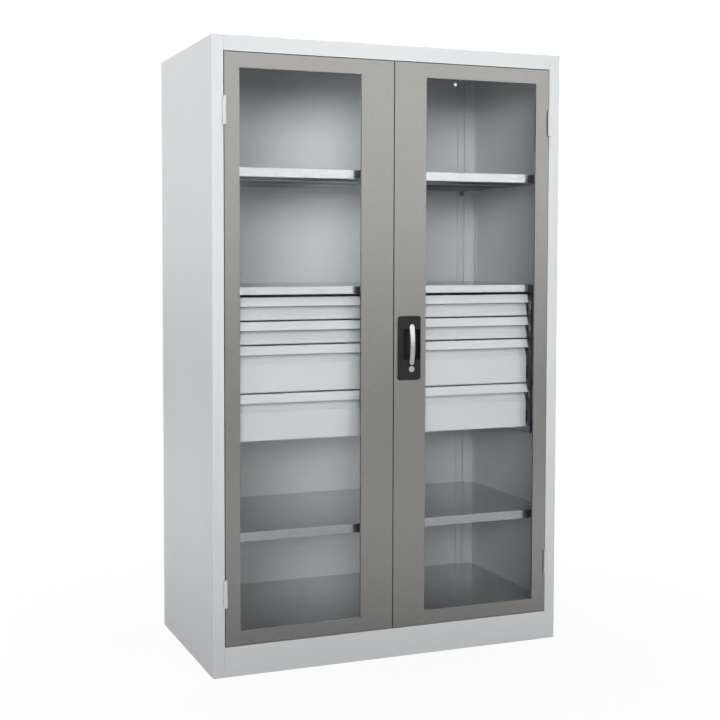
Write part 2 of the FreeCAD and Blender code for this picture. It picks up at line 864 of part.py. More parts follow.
# Drawers and their runners
bottoms = drawer_bottoms()
save_pair("runner_outer", Part.makeCompound([outer_rail(bottom) for bottom in bottoms]))
for number, (bottom, height) in enumerate(zip(bottoms, drawer_heights), start=1):
    save("drawer_front_" + str(number), drawer_front(bottom, height))
    save("drawer_box_" + str(number), drawer_box(bottom, height))
    for name, rail in (("rails_middle_", middle_rail(bottom)), ("rails_inner_", inner_rail(bottom))):
        save(name + str(number), Part.makeCompound([rail, mirrored(rail)]))

# Doors and hinges
save("door_leaf_right", leaf(lock_cuts()))
save("door_leaf_left", mirrored(leaf([])))
save_pair("pane", pane())
save_pair("pane_frame", pane_frame())
save_pair("hinge_door", Part.makeCompound([hinge_door_half(bottom) for bottom in hinge_bottoms]))
frame_halves = [hinge_frame_half(bottom) for bottom in hinge_bottoms]
save("hinge_frame", Part.makeCompound(frame_halves + [mirrored(half) for half in frame_halves]))
save("door_buffers", door_buffers())

# Handle, lock and rods
save("handle_plate", handle_plate())
save("handle_bow", handle_bow())
save("handle_cam", handle_cam())
save("lock_case", lock_case())
save("lock_cylinder", lock_cylinder())
save("key_core", key_core())
save("rod_upper", lock_rod((bow_pivot_z + rod_inner_gap, leaf_top - rod_tip_play)))
save("rod_lower", lock_rod((leaf_bottom + rod_tip_play, bow_pivot_z - rod_inner_gap)))
save("rod_guides", rod_guides())
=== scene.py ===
"""Looks of the heavy-duty cabinet: its finishes, its small fasteners and the studio around it."""

import json
import logging
import math
from dataclasses import dataclass
from enum import Enum
from typing import Dict, List, Mapping, Sequence, Tuple, Union

import bmesh
import bpy
from mathutils import Matrix, Vector


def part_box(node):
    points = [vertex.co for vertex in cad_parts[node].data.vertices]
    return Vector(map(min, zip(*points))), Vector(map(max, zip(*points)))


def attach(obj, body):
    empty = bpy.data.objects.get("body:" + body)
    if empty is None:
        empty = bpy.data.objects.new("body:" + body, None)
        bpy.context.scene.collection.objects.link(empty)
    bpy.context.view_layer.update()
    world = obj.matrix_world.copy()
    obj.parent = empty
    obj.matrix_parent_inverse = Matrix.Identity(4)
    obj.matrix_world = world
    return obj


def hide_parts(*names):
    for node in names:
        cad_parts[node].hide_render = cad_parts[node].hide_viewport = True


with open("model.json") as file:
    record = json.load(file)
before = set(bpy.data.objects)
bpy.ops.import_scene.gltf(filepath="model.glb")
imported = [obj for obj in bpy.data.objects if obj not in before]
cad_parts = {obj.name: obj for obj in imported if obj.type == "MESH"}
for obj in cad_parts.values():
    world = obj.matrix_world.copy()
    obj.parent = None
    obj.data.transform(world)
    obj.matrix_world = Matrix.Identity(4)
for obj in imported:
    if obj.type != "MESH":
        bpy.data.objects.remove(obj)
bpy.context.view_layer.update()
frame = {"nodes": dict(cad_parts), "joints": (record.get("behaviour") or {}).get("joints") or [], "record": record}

log = logging.getLogger("cabinet")

DRAWERS = range(1, 5)
HEIGHT_DIGITS = 5
QUARTER = math.pi / 2
WHITE = (1.0, 1.0, 1.0, 1.0)

# Span that most values of a noise lie in, and the rays of a bevel or corner look-up.
NOISE_SPAN = (0.3, 0.7)
LOOK_RAYS = 4

Colour = Tuple[float, float, float]
Triple = Tuple[float, float, float]
Pair = Tuple[float, float]
Value = Union[float, int, Sequence[float], bpy.types.ID, bpy.types.NodeSocket]


class Slot(Enum):
    """Material slots of the record."""

    LIGHT_PAINT = "light_paint"
    HINGE_PAINT = "hinge_paint"
    DOOR_PAINT = "door_paint"
    ZINC = "zinc"
    CLEAR_PANE = "clear_pane"
    BLACK_PLASTIC = "black_plastic"
    SATIN_SILVER = "satin_silver"
    BUFFER_RUBBER = "buffer_rubber"


class Side(Enum):
    """The two hands of the cabinet, with the sign of their X values."""

    LEFT = -1
    RIGHT = 1

    @property
    def word(self) -> str:
        """Lower-case name, as in the names of the nodes."""
        return self.name.lower()


class Facing(Enum):
    """Directions that a fastener's head can look in, as a turn from +Z."""

    UP = (0.0, 0.0, 0.0)
    FRONT = (QUARTER, 0.0, 0.0)
    BACK = (-QUARTER, 0.0, 0.0)
    TO_LEFT = (0.0, -QUARTER, 0.0)
    TO_RIGHT = (0.0, QUARTER, 0.0)


class Sketch:
    """Draws nodes and links in one tree."""

    def __init__(self, tree: bpy.types.NodeTree) -> None:
        """Keep the tree.

        Args:
            tree: Shader or geometry tree to draw in.
        """
        self.tree = tree

    def feed(self, socket: bpy.types.NodeSocket, value: Value) -> None:
        """Link a socket or set its value.

        Args:
            socket: Input to fill.
            value: Another node's output, or a plain value.
        """
        if isinstance(value, bpy.types.NodeSocket):
            self.tree.links.new(value, socket)
        else:
            socket.default_value = value

    def add(
        self, kind: str, inputs: Mapping[Union[str, int], Value], **settings: object
    ) -> bpy.types.Node:
        """Add one node.

        Args:
            kind: Blender's name of the node type.
            inputs: Values or outputs for its inputs, by name or number.
            **settings: Properties of the node itself.

        Returns:
            The new node.
        """
        node = self.tree.nodes.new(kind)
        for name, setting in settings.items():
            setattr(node, name, setting)
        for key, value in inputs.items():
            self.feed(node.inputs[key], value)
        return node

    def math(self, operation: str, *values: Value) -> bpy.types.NodeSocket:
        """Add a Math node.

        Args:
            operation: Name of the operation.
            *values: Its operands.

        Returns:
            The result.
        """
        node = self.add("ShaderNodeMath", dict(enumerate(values)), operation=operation)
        return node.outputs[0]

    def blend(
        self, share: bpy.types.NodeSocket, first: bpy.types.Node, second: bpy.types.Node
    ) -> bpy.types.Node:
        """Mix two shaders.

        Args:
            share: Share of the second shader.
            first: Shader at share 0.
            second: Shader at share 1.

        Returns:
            The mix.
        """
        inputs = {0: share, 1: first.outputs[0], 2: second.outputs[0]}
        return self.add("ShaderNodeMixShader", inputs)


class Surface(Sketch):
    """A material's tree, with the steps that the finishes share."""

    # Agreement of the soft and the true normal on a flat face and at an edge.
    EDGE_AGREEMENT = (0.995, 0.8)

    def __init__(self, name: str) -> None:
        """Start an empty material.

        Args:
            name: Name of the material.
        """
        self.material = bpy.data.materials.new(name)
        self.material.use_nodes = True
        super().__init__(self.material.node_tree)
        self.tree.nodes.clear()

    def place(self, stretch: Triple = (1.0, 1.0, 1.0)) -> bpy.types.NodeSocket:
        """Position on the piece in metres.

        Args:
            stretch: Factor for each axis.

        Returns:
            The coordinates.
        """
        coordinates = self.add("ShaderNodeTexCoord", {}).outputs["Object"]
        if stretch == (1.0, 1.0, 1.0):
            return coordinates
        return self.add("ShaderNodeMapping", {"Vector": coordinates, "Scale": stretch}).outputs[0]

    def noise(
        self, place: bpy.types.NodeSocket, scale: float, detail: float = 2.0
    ) -> bpy.types.NodeSocket:
        """Soft noise between 0 and 1.

        Args:
            place: Coordinates.
            scale: Waves to the metre.
            detail: Octaves.

        Returns:
            The noise.
        """
        inputs = {"Vector": place, "Scale": scale, "Detail": detail}
        return self.add("ShaderNodeTexNoise", inputs).outputs[0]

    def cells(self, place: bpy.types.NodeSocket, scale: float) -> bpy.types.NodeSocket:
        """A random value for each crystal of a surface.

        Args:
            place: Coordinates.
            scale: Crystals to the metre.

        Returns:
            The value, between 0 and 1.
        """
        voronoi = self.add("ShaderNodeTexVoronoi", {"Vector": place, "Scale": scale})
        split = self.add("ShaderNodeSeparateColor", {"Color": voronoi.outputs["Color"]})
        return split.outputs[0]

    def spread(
        self, value: bpy.types.NodeSocket, source: Pair, target: Pair
    ) -> bpy.types.NodeSocket:
        """Map one span of values to another, held at both ends.

        Args:
            value: What to map.
            source: Pair to read.
            target: Pair to give.

        Returns:
            The mapped value.
        """
        inputs = {
            "Value": value,
            "From Min": source[0],
            "From Max": source[1],
            "To Min": target[0],
            "To Max": target[1],
        }
        return self.add("ShaderNodeMapRange", inputs).outputs[0]

    def tinted(self, colour: Colour, tone: bpy.types.NodeSocket) -> bpy.types.NodeSocket:
        """A colour made lighter or darker.

        Args:
            colour: The colour at tone 1.
            tone: Brightness.

        Returns:
            The colour.
        """
        inputs = {0: colour, "Scale": tone}
        return self.add("ShaderNodeVectorMath", inputs, operation="SCALE").outputs[0]

    def rounded(self, radius: float) -> bpy.types.NodeSocket:
        """Normal that runs softly over sharp edges.

        Args:
            radius: Radius of the edges in metres.

        Returns:
            The normal.
        """
        return self.add("ShaderNodeBevel", {"Radius": radius}, samples=LOOK_RAYS).outputs[0]

    def edges(self, normal: bpy.types.NodeSocket) -> bpy.types.NodeSocket:
        """How near a point lies to a sharp edge.

        Args:
            normal: Normal from rounded().

        Returns:
            0 on a flat face, up to 1 at an edge.
        """
        flat = self.add("ShaderNodeNewGeometry", {}).outputs["Normal"]
        agree = self.add("ShaderNodeVectorMath", {0: normal, 1: flat}, operation="DOT_PRODUCT")
        return self.spread(agree.outputs["Value"], self.EDGE_AGREEMENT, (0.0, 1.0))

    def crevice(self, reach: float) -> bpy.types.NodeSocket:
        """How open a point lies among the faces of its own piece; the coats use it to paint shade into corners.

        Args:
            reach: How far to look for other faces, in metres.

        Returns:
            1 in the open, down to 0 in a narrow corner.
        """
        settings = {"samples": LOOK_RAYS, "only_local": True}
        return self.add("ShaderNodeAmbientOcclusion", {"Distance": reach}, **settings).outputs["AO"]

    def bumps(
        self, height: bpy.types.NodeSocket, depth: float, normal: bpy.types.NodeSocket
    ) -> bpy.types.NodeSocket:
        """Fine relief.

        Args:
            height: Relief between 0 and 1.
            depth: Its depth in metres.
            normal: Normal to start from.

        Returns:
            The normal with the relief.
        """
        inputs = {"Height": height, "Distance": depth, "Strength": 1.0, "Normal": normal}
        return self.add("ShaderNodeBump", inputs).outputs[0]

    def shade(self, inputs: Mapping[Union[str, int], Value]) -> bpy.types.Material:
        """Close the tree with one shader.

        Args:
            inputs: Inputs of the shader.

        Returns:
            The finished material.
        """
        shader = self.add("ShaderNodeBsdfPrincipled", inputs)
        self.add("ShaderNodeOutputMaterial", {"Surface": shader.outputs[0]})
        return self.material


@dataclass(frozen=True)
class PowderCoat:
    """Baked coat with a fine orange peel, paler along the edges (painted edge highlight, partly thinner paint on
    the bends) and darker in the corners (painted shade).
    """

    name: str
    colour: Colour
    roughness: float
    metallic: float = 0.0
    flake: float = 0.02
    flake_scale: float = 2600.0
    cloud: float = 0.02
    cloud_scale: float = 2.2
    peel_scale: float = 650.0
    peel_depth: float = 0.00004
    edge_radius: float = 0.0012
    edge_lift: float = 0.06
    # Painted shade in the corners: how far to look, how dark, and over which openness.
    crevice_reach: float = 0.014
    crevice_dark: float = 0.45
    crevice_span: Pair = (0.15, 0.75)
    rough_spread: float = 0.04

    def material(self) -> bpy.types.Material:
        """Draw the coat.

        Returns:
            The material.
        """
        surface = Surface(self.name)
        place = surface.place()
        cloud = surface.noise(place, self.cloud_scale, detail=4.0)
        peel = surface.noise(place, self.peel_scale)
        fleck = surface.cells(place, self.flake_scale)
        normal = surface.rounded(self.edge_radius)
        tone = surface.spread(cloud, NOISE_SPAN, (1 - self.cloud, 1 + self.cloud))
        grain = surface.spread(fleck, (0.0, 1.0), (1 - self.flake, 1 + self.flake))
        # Paler along the edges: a painted edge highlight, partly thinner paint on the bends.
        paler_edges = surface.math("MULTIPLY_ADD", surface.edges(normal), self.edge_lift, 1.0)
        tone = surface.math("MULTIPLY", surface.math("MULTIPLY", tone, grain), paler_edges)
        # Painted shade: the colour darkens in the piece's own corners and recesses, where shade falls.
        corner = surface.crevice(self.crevice_reach)
        painted_corner_shade = surface.spread(corner, self.crevice_span, (1 - self.crevice_dark, 1.0))
        tone = surface.math("MULTIPLY", tone, painted_corner_shade)
        low, high = self.roughness - self.rough_spread, self.roughness + self.rough_spread
        return surface.shade({
            "Base Color": surface.tinted(self.colour, tone),
            "Metallic": self.metallic,
            "Roughness": surface.spread(peel, NOISE_SPAN, (low, high)),
            "Normal": surface.bumps(peel, self.peel_depth, normal),
        })


@dataclass(frozen=True)
class ZincSheet:
    """Galvanised sheet: small crystals, faint rolling lines and a satin shine."""

    name: str
    colour: Colour
    roughness: float
    crystal_scale: float = 70.0
    crystal_tone: float = 0.02
    crystal_rough: float = 0.015
    line_stretch: Triple = (6.0, 420.0, 420.0)
    line_depth: float = 0.000004
    line_rough: float = 0.015
    cloud_scale: float = 3.0
    cloud: float = 0.03
    edge_radius: float = 0.001

    def material(self) -> bpy.types.Material:
        """Draw the sheet.

        Returns:
            The material.
        """
        surface = Surface(self.name)
        place = surface.place()
        crystal = surface.cells(place, self.crystal_scale)
        cloud = surface.noise(place, self.cloud_scale, detail=4.0)
        lines = surface.noise(surface.place(self.line_stretch), 1.0, detail=3.0)
        low, high = 1 - self.crystal_tone, 1 + self.crystal_tone
        tone = surface.math(
            "MULTIPLY",
            surface.spread(crystal, (0.0, 1.0), (low, high)),
            surface.spread(cloud, NOISE_SPAN, (1 - self.cloud, 1 + self.cloud)),
        )
        low, high = self.roughness - self.crystal_rough, self.roughness + self.crystal_rough
        rough = surface.math(
            "ADD",
            surface.spread(crystal, (0.0, 1.0), (high, low)),
            surface.spread(lines, NOISE_SPAN, (-self.line_rough, self.line_rough)),
        )
        return surface.shade({
            "Base Color": surface.tinted(self.colour, tone),
            "Metallic": 1.0,
            "Roughness": rough,
            "Normal": surface.bumps(lines, self.line_depth, surface.rounded(self.edge_radius)),
        })


@dataclass(frozen=True)
class ClearSheet:
    """Clear acrylic with a barely visible waviness and wiping marks."""

    name: str
    colour: Colour
    cover: float
    refraction: float = 1.49
    wipe_stretch: Triple = (9.0, 9.0, 2.0)
    wipe_tones: Pair = (0.98, 1.0)
    wipe_span: Pair = (0.35, 0.75)
    wipe_rough: Pair = (0.01, 0.06)
    wave_scale: float = 5.0
    wave_depth: float = 0.0004

    def material(self) -> bpy.types.Material:
        """Draw the pane.

        Returns:
            The material.
        """
        surface = Surface(self.name)
        wipe = surface.noise(surface.place(self.wipe_stretch), 1.0, detail=5.0)
        wave = surface.noise(surface.place(), self.wave_scale)
        tone = surface.spread(wipe, NOISE_SPAN, self.wipe_tones)
        flat = surface.add("ShaderNodeNewGeometry", {}).outputs["Normal"]
        return surface.shade({
            "Base Color": surface.tinted(self.colour, tone),
            "Roughness": surface.spread(wipe, self.wipe_span, self.wipe_rough),
            "IOR": self.refraction,
            "Transmission Weight": 1.0,
            "Alpha": self.cover,
            "Normal": surface.bumps(wave, self.wave_depth, flat),
        })


@dataclass(frozen=True)
class Moulding:
    """Moulded plastic or rubber with a fine spark-eroded grain."""

    name: str
    colour: Colour
    roughness: float
    grain_scale: float = 1500.0
    grain_depth: float = 0.00005
    cloud_scale: float = 18.0
    cloud: float = 0.12
    rough_spread: float = 0.06
    edge_radius: float = 0.0012
    edge_lift: float = 0.5

    def material(self) -> bpy.types.Material:
        """Draw the moulding.

        Returns:
            The material.
        """
        surface = Surface(self.name)
        place = surface.place()
        grain = surface.noise(place, self.grain_scale, detail=3.0)
        cloud = surface.noise(place, self.cloud_scale, detail=3.0)
        normal = surface.rounded(self.edge_radius)
        # Paler along the edges: a painted edge highlight, partly edge wear.
        paler_edges = surface.math("MULTIPLY_ADD", surface.edges(normal), self.edge_lift, 1.0)
        tone = surface.spread(cloud, NOISE_SPAN, (1 - self.cloud, 1 + self.cloud))
        tone = surface.math("MULTIPLY", tone, paler_edges)
        low, high = self.roughness - self.rough_spread, self.roughness + self.rough_spread
        return surface.shade({
            "Base Color": surface.tinted(self.colour, tone),
            "Roughness": surface.spread(grain, NOISE_SPAN, (low, high)),
            "Normal": surface.bumps(grain, self.grain_depth, normal),
        })


@dataclass(frozen=True)
class SatinMetal:
    """Satin metal with fine draw lines along its length."""

    name: str
    colour: Colour
    roughness: float
    line_stretch: Triple = (1600.0, 1600.0, 40.0)
    line_depth: float = 0.00002
    line_tones: Pair = (0.95, 1.04)
    touch_scale: float = 60.0
    touch_rough: Pair = (-0.05, 0.07)
    edge_radius: float = 0.0008

    def material(self) -> bpy.types.Material:
        """Draw the metal.

        Returns:
            The material.
        """
        surface = Surface(self.name)
        lines = surface.noise(surface.place(self.line_stretch), 1.0, detail=3.0)
        touch = surface.noise(surface.place(), self.touch_scale, detail=3.0)
        tone = surface.spread(lines, NOISE_SPAN, self.line_tones)
        low, high = [self.roughness + change for change in self.touch_rough]
        return surface.shade({
            "Base Color": surface.tinted(self.colour, tone),
            "Metallic": 1.0,
            "Roughness": surface.spread(touch, NOISE_SPAN, (low, high)),
            "Normal": surface.bumps(lines, self.line_depth, surface.rounded(self.edge_radius)),
        })


Finish = Union[PowderCoat, ZincSheet, ClearSheet, Moulding, SatinMetal]

# Painted shade: a darker copy of the light grey coat for the drawers inside the cabinet, with deeper and wider
# painted shade in its own corners, as under the grips.
SHADED_DRAWER_COAT = PowderCoat(
    "drawer coat", (0.585, 0.605, 0.615), 0.42, crevice_reach=0.02, crevice_dark=0.65
)

FINISHES: Dict[Slot, Finish] = {
    Slot.LIGHT_PAINT: PowderCoat("light grey coat", (0.685, 0.705, 0.715), 0.42),
    Slot.HINGE_PAINT: PowderCoat("hinge coat", (0.70, 0.70, 0.695), 0.45),
    Slot.DOOR_PAINT: PowderCoat(
        "door coat", (0.425, 0.421, 0.407), 0.30, metallic=0.85, peel_depth=0.00001
    ),
    Slot.ZINC: ZincSheet("galvanised sheet", (0.55, 0.57, 0.58), 0.22),
    Slot.CLEAR_PANE: ClearSheet("clear acrylic", (0.95, 0.97, 0.97), 0.07),
    Slot.BLACK_PLASTIC: Moulding("black moulding", (0.012, 0.012, 0.0125), 0.30),
    Slot.SATIN_SILVER: SatinMetal("satin silver", (0.90, 0.90, 0.91), 0.32),
    Slot.BUFFER_RUBBER: Moulding("buffer rubber", (0.03, 0.03, 0.03), 0.7, grain_depth=0.0001),
}


class Paintbox:
    """The drawn finishes, and the steps that put them on pieces."""

    def __init__(self) -> None:
        """Draw every finish once."""
        self.materials = {slot: finish.material() for slot, finish in FINISHES.items()}
        self.drawer_coat = SHADED_DRAWER_COAT.material()

    def coat_node(self, node: str, slot: Slot) -> None:
        """Give a node of the frame its finish.

        Args:
            node: Name of the node.
            slot: Slot of the finish.
        """
        piece = frame["nodes"][node]
        # Drawers take the darker copy of the light grey coat: painted shade.
        drawer = slot is Slot.LIGHT_PAINT and node.startswith("drawer_")
        piece.data.materials.clear()
        piece.data.materials.append(self.drawer_coat if drawer else self.materials[slot])
        log.info("node %s: %s", node, slot.value)

    def settle(
        self, piece: bpy.types.Object, slot: Slot, body: str, stands_for: Sequence[str] = ()
    ) -> bpy.types.Object:
        """Hand a finished piece to the body that carries it.

        Args:
            piece: The piece, in place and with its material.
            slot: Slot that it takes its finish from.
            body: Body that it moves with.
            stands_for: Nodes of the frame that it replaces.

        Returns:
            The piece.
        """
        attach(piece, body)
        if stands_for:
            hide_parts(*stands_for)
        log.info("piece %s: %s on %s", piece.name, slot.value, body)
        return piece


@dataclass(frozen=True)
class Head:
    """A fastener's head: a low dome, with a cross recess where it has a width."""

    radius: float
    height: float
    recess: float = 0.0
    sides: int = 16


@dataclass(frozen=True)
class Pattern:
    """A grid of fasteners that all look the same way.

    The grid lies across the direction that the heads look in, with its
    columns and rows along the two other axes of the frame.
    """

    centre: Triple
    span: Triple
    counts: Tuple[int, int, int]
    facing: Facing


class FastenerTree:
    """Geometry tree that sets fasteners at the crossings of a grid."""

    TOP_SHARE = 0.4
    RINGS = 3
    RECESS_LENGTH = 1.1
    INPUTS: Tuple[Tuple[str, str], ...] = (
        ("Centre", "NodeSocketVector"),
        ("Span", "NodeSocketVector"),
        ("Along X", "NodeSocketInt"),
        ("Along Y", "NodeSocketInt"),
        ("Along Z", "NodeSocketInt"),
        ("Turn", "NodeSocketRotation"),
        ("Radius", "NodeSocketFloat"),
        ("Height", "NodeSocketFloat"),
        ("Finish", "NodeSocketMaterial"),
    )

    def __init__(self, head: Head) -> None:
        """Draw the tree for one kind of head.

        Args:
            head: The head to set.
        """
        self.head = head
        self.tree = bpy.data.node_groups.new("fasteners", "GeometryNodeTree")
        self.keys: Dict[str, str] = {}
        for name, kind in self.INPUTS:
            socket = self.tree.interface.new_socket(name, in_out="INPUT", socket_type=kind)
            self.keys[name] = socket.identifier
        self.tree.interface.new_socket(
            "Fasteners", in_out="OUTPUT", socket_type="NodeSocketGeometry"
        )
        self.sketch = Sketch(self.tree)
        self.given = self.sketch.add("NodeGroupInput", {}).outputs
        self.draw()

    def dome(self) -> bpy.types.NodeSocket:
        """One head on its seat, looking up.

        Returns:
            The head's mesh.
        """
        sketch = self.sketch
        radius, height = self.given["Radius"], self.given["Height"]
        cone = sketch.add("GeometryNodeMeshCone", {
            "Vertices": self.head.sides,
            "Side Segments": self.RINGS,
            "Radius Top": sketch.math("MULTIPLY", radius, self.TOP_SHARE),
            "Radius Bottom": radius,
            "Depth": height,
        })
        position = sketch.add("GeometryNodeInputPosition", {}).outputs[0]
        place = sketch.add("ShaderNodeSeparateXYZ", {0: position}).outputs
        across = [sketch.math("DIVIDE", place[axis], radius) for axis in (0, 1)]
        squares = [sketch.math("MULTIPLY", part, part) for part in across]
        left = sketch.math("SUBTRACT", 1.0, sketch.math("ADD", *squares))
        share = sketch.math("SQRT", sketch.math("MAXIMUM", left, 0.0))
        rise = sketch.math("MULTIPLY", height, share)
        curve = sketch.add("ShaderNodeCombineXYZ", {0: place[0], 1: place[1], 2: rise})
        inputs = {"Geometry": cone.outputs["Mesh"], "Position": curve.outputs[0]}
        dome = sketch.add("GeometryNodeSetPosition", inputs).outputs[0]
        return self.recessed(dome) if self.head.recess else dome

    def recessed(self, dome: bpy.types.NodeSocket) -> bpy.types.NodeSocket:
        """Cut a cross recess into the head.

        Args:
            dome: The plain head.

        Returns:
            The head with its recess.
        """
        sketch = self.sketch
        long, deep = self.head.radius * self.RECESS_LENGTH, self.head.height
        top = (0.0, 0.0, self.head.height)
        settings = {"operation": "DIFFERENCE", "solver": "EXACT"}
        cut = sketch.add("GeometryNodeMeshBoolean", {"Mesh 1": dome}, **settings)
        for size in ((long, self.head.recess, deep), (self.head.recess, long, deep)):
            bar = sketch.add("GeometryNodeMeshCube", {"Size": size}).outputs[0]
            cutter = sketch.add("GeometryNodeTransform", {"Geometry": bar, "Translation": top})
            sketch.feed(cut.inputs["Mesh 2"], cutter.outputs[0])
        return cut.outputs["Mesh"]

    def draw(self) -> None:
        """Draw the grid, the heads on it, and the end of the tree."""
        sketch = self.sketch
        span = sketch.add("ShaderNodeSeparateXYZ", {0: self.given["Span"]}).outputs
        points = None
        for axis, name in enumerate(("Along X", "Along Y", "Along Z")):
            steps = sketch.math("MAXIMUM", sketch.math("SUBTRACT", self.given[name], 1.0), 1.0)
            step = sketch.math("DIVIDE", span[axis], steps)
            start = sketch.math("MULTIPLY", span[axis], -0.5)
            offset = sketch.add("ShaderNodeCombineXYZ", {axis: step}).outputs[0]
            begin = sketch.add("ShaderNodeCombineXYZ", {axis: start}).outputs[0]
            inputs = {"Count": self.given[name], "Start Location": begin, "Offset": offset}
            line = sketch.add("GeometryNodeMeshLine", inputs, mode="OFFSET").outputs[0]
            if points is None:
                points = line
                continue
            rows = sketch.add("GeometryNodeInstanceOnPoints", {"Points": line, "Instance": points})
            points = sketch.add("GeometryNodeRealizeInstances", {0: rows.outputs[0]}).outputs[0]
        placed = sketch.add(
            "GeometryNodeTransform", {"Geometry": points, "Translation": self.given["Centre"]}
        )
        heads = sketch.add("GeometryNodeInstanceOnPoints", {
            "Points": placed.outputs[0],
            "Instance": self.dome(),
            "Rotation": self.given["Turn"],
        })
        solid = sketch.add("GeometryNodeRealizeInstances", {0: heads.outputs[0]})
        inputs = {"Geometry": solid.outputs[0], "Material": self.given["Finish"]}
        coated = sketch.add("GeometryNodeSetMaterial", inputs)
        sketch.add("NodeGroupOutput", {0: coated.outputs[0]})

    def mesh(self, pattern: Pattern, finish: bpy.types.Material) -> bpy.types.Mesh:
        """Set one pattern of fasteners.

        Args:
            pattern: Where the fasteners sit.
            finish: Their material.

        Returns:
            A plain mesh in the row frame.
        """
        values = {
            "Centre": pattern.centre,
            "Span": pattern.span,
            "Along X": pattern.counts[0],
            "Along Y": pattern.counts[1],
            "Along Z": pattern.counts[2],
            "Turn": pattern.facing.value,
            "Radius": self.head.radius,
            "Height": self.head.height,
            "Finish": finish,
        }
        carrier = bpy.data.objects.new("pattern", bpy.data.meshes.new("pattern"))
        bpy.context.scene.collection.objects.link(carrier)
        modifier = carrier.modifiers.new("fasteners", "NODES")
        modifier.node_group = self.tree
        for name, value in values.items():
            modifier[self.keys[name]] = value
        shown = carrier.evaluated_get(bpy.context.evaluated_depsgraph_get())
        made = bpy.data.meshes.new_from_object(shown)
        bpy.data.objects.remove(carrier)
        return made


def joined(name: str, meshes: Sequence[bpy.types.Mesh]) -> bpy.types.Object:
    """One object from several meshes.

    Args:
        name: Name of the piece.
        meshes: Meshes in the row frame that share one material.

    Returns:
        The object, linked to the scene.
    """
    whole = bmesh.new()
    for mesh in meshes:
        whole.from_mesh(mesh)
    result = bpy.data.meshes.new(name)
    whole.to_mesh(result)
    whole.free()
    for material in meshes[0].materials:
        result.materials.append(material)
    piece = bpy.data.objects.new(name, result)
    bpy.context.scene.collection.objects.link(piece)
    return piece


def edge(node: str, axis: int, high: bool) -> float:
    """One face of a node's box.

    Args:
        node: Name of the node.
        axis: 0, 1 or 2 for X, Y or Z.
        high: True for the higher face.

    Returns:
        Its place in metres.
    """
    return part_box(node)[1 if high else 0][axis]


def hinge_tops(side: Side) -> List[Triple]:
    """Middles of the upper barrel ends of one door's hinges.

    Args:
        side: Side that the door hangs on.

    Returns:
        One point for each of the two hinges.
    """
    joint = next(j for j in frame["joints"] if j["name"] == f"door_{side.word}_hinge")
    x, y, _ = joint["pos_m"]
    vertices = frame["nodes"][f"hinge_door_{side.word}"].data.vertices
    heights = [round(vertex.co.z, HEIGHT_DIGITS) for vertex in vertices]
    middle = (min(heights) + max(heights)) / 2
    return [(x, y, max(h for h in heights if h < middle)), (x, y, max(heights))]


@dataclass
class Carcass:
    """Body, shelves, uprights and carriers, with the welds and screws that hold them."""

    weld_radius: float = 0.0045
    weld_height: float = 0.0004
    weld_pitch: float = 0.116
    weld_inset: float = 0.052
    weld_margin: float = 0.12
    rear_flange: float = 0.0085
    screw_radius: float = 0.005
    screw_height: float = 0.003
    screw_recess: float = 0.0012
    sheet: float = 0.0015
    slot_column: float = 0.5475
    foot_y: float = 0.059
    screw_heights: Tuple[float, ...] = (0.72, 0.93, 1.14)

    def build(self, paints: Paintbox) -> List[bpy.types.Object]:
        """Make the welds on the rear wall and the carrier screws.

        Args:
            paints: The finishes.

        Returns:
            The new pieces.
        """
        return [self.welds(paints), self.screws(paints)]

    def welds(self, paints: Paintbox) -> bpy.types.Object:
        """Spot welds that hold the rear uprights to the rear wall."""
        low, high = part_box("rear_panel")
        face = high.y - self.rear_flange
        span = high.z - low.z - 2 * self.weld_margin
        count = round(span / self.weld_pitch) + 1
        tree = FastenerTree(Head(self.weld_radius, self.weld_height))
        finish = paints.materials[Slot.LIGHT_PAINT]
        middle = (low.z + high.z) / 2
        width = 2 * (high.x - self.weld_inset)
        pattern = Pattern((0, face, middle), (width, 0, span), (2, 1, count), Facing.BACK)
        piece = joined("rear_weld_marks", [tree.mesh(pattern, finish)])
        return paints.settle(piece, Slot.LIGHT_PAINT, "carcass")

    def screws(self, paints: Paintbox) -> bpy.types.Object:
        """Cross-head screws through the feet of the drawer carriers."""
        tree = FastenerTree(Head(self.screw_radius, self.screw_height, self.screw_recess))
        finish = paints.materials[Slot.ZINC]
        front = edge("side_panel_right", 1, False)
        heights = self.screw_heights
        middle = (heights[0] + heights[-1]) / 2
        span = heights[-1] - heights[0]
        count = len(heights)
        seat_y = edge("drawer_carrier_right", 1, True) - self.sheet
        seat_x = edge("upright_front_right", 0, False) - self.sheet
        meshes = []
        for side in Side:
            inward = Facing.TO_LEFT if side is Side.RIGHT else Facing.TO_RIGHT
            fore = (side.value * seat_x, front + self.foot_y, middle)
            aft = (side.value * self.slot_column, seat_y, middle)
            for centre, facing in ((fore, inward), (aft, Facing.FRONT)):
                pattern = Pattern(centre, (0, 0, span), (1, 1, count), facing)
                meshes.append(tree.mesh(pattern, finish))
        piece = joined("carrier_screw_heads", meshes)
        return paints.settle(piece, Slot.ZINC, "carcass", ["carrier_screws"])


